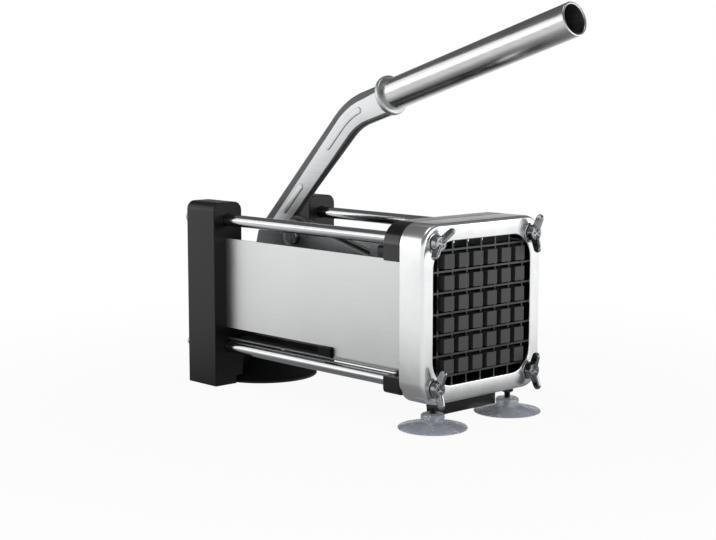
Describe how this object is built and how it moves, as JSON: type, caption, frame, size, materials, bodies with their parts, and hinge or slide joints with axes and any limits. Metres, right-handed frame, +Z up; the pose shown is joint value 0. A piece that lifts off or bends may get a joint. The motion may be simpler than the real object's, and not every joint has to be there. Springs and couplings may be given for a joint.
{
  "type": "french fry cutter",
  "caption": "Lever-operated french fry cutter: a swinging tube handle drives a pegged pusher along a steel trough through a grid of crossed blades, on suction cups.",
  "frame": {"origin": "on the table under the middle of the object's box", "axes": "+X from the rear frame to the blade face, +Y to the far side, +Z up"},
  "size_m": [0.3179, 0.1104, 0.2532],
  "materials": {
    "black_casting": "satin black powder coat",
    "black_nylon": "matte moulded",
    "polished_face": "polished die casting",
    "stainless_sheet": "satin, brushed along the trough",
    "chrome_rod": "bright",
    "plated_steel": "zinc plated",
    "wing_nut_casting": "nickel plated casting",
    "blade_steel": "ground",
    "lever_steel": "pressed and polished",
    "tube_steel": "satin tube",
    "black_rubber": "matte",
    "clear_rubber": "clear soft vinyl"
  },
  "bodies": {
    "frame": {"rear_frame": "black_casting", "pivot_bolt": "plated_steel", "pivot_nut": "plated_steel", "rear_cup": "black_rubber", "rear_cup_stud": "plated_steel", "rear_cup_nut": "plated_steel", "rod_upper_near": "chrome_rod", "rod_upper_far": "chrome_rod", "rod_lower_near": "chrome_rod", "rod_lower_far": "chrome_rod", "rod_nuts": "plated_steel", "rod_washers": "plated_steel", "trough": "stainless_sheet", "slide_strips": "black_nylon", "front_upper_bar": "black_casting", "front_lower_bar": "black_casting", "blade_frame": "black_nylon", "upright_blades": "blade_steel", "level_blades": "blade_steel", "face_ring": "polished_face", "wing_nut_washers": "plated_steel", "front_foot_bolts": "plated_steel", "front_foot_nuts": "plated_steel", "front_cup_near": "clear_rubber", "front_cup_far": "clear_rubber"},
    "lever": {"lever_arm": "lever_steel", "handle_collar": "lever_steel", "handle_tube": "tube_steel", "link_pin": "plated_steel"},
    "link": {"link_plate_near": "lever_steel", "link_plate_far": "lever_steel", "slide_pin_bolt": "plated_steel"},
    "pusher": {"pusher_head": "black_nylon", "pusher_back_plate": "lever_steel", "pusher_screws": "plated_steel", "carriage_base": "black_nylon", "carriage_tongue": "lever_steel", "carriage_bolts": "plated_steel"},
    "wing_nut_upper_near_body": {"wing_nut_upper_near": "wing_nut_casting"},
    "wing_nut_upper_far_body": {"wing_nut_upper_far": "wing_nut_casting"},
    "wing_nut_lower_near_body": {"wing_nut_lower_near": "wing_nut_casting"},
    "wing_nut_lower_far_body": {"wing_nut_lower_far": "wing_nut_casting"}
  },
  "joints": [
    {"name": "lever_pivot", "type": "hinge", "parent": "frame", "child": "lever", "pos_m": [-0.125, 0, 0.056], "axis": [0, -1, 0], "range_deg": [0, 87]},
    {"name": "link_pivot", "type": "hinge", "parent": "lever", "child": "link", "pos_m": [-0.08095, 0, 0.10242], "axis": [0, 1, 0], "range_deg": [0, 87]},
    {"name": "pusher_slide", "type": "slide", "parent": "frame", "child": "pusher", "axis": [-1, 0, 0], "range_m": [0, 0.0882]},
    {"name": "wing_nut_upper_near_spin", "type": "hinge", "parent": "frame", "child": "wing_nut_upper_near_body", "pos_m": [0.0924, -0.043, 0.114], "axis": [1, 0, 0], "continuous": true},
    {"name": "wing_nut_upper_far_spin", "type": "hinge", "parent": "frame", "child": "wing_nut_upper_far_body", "pos_m": [0.0924, 0.043, 0.114], "axis": [1, 0, 0], "continuous": true},
    {"name": "wing_nut_lower_near_spin", "type": "hinge", "parent": "frame", "child": "wing_nut_lower_near_body", "pos_m": [0.0924, -0.043, 0.027], "axis": [1, 0, 0], "continuous": true},
    {"name": "wing_nut_lower_far_spin", "type": "hinge", "parent": "frame", "child": "wing_nut_lower_far_body", "pos_m": [0.0924, 0.043, 0.027], "axis": [1, 0, 0], "continuous": true}
  ],
  "couplings": [
    {"joint": "link_pivot", "follows": "lever_pivot", "ratio": 1},
    {"joint": "pusher_slide", "follows": "lever_pivot", "m_per_rad": 0.058026}
  ]
}
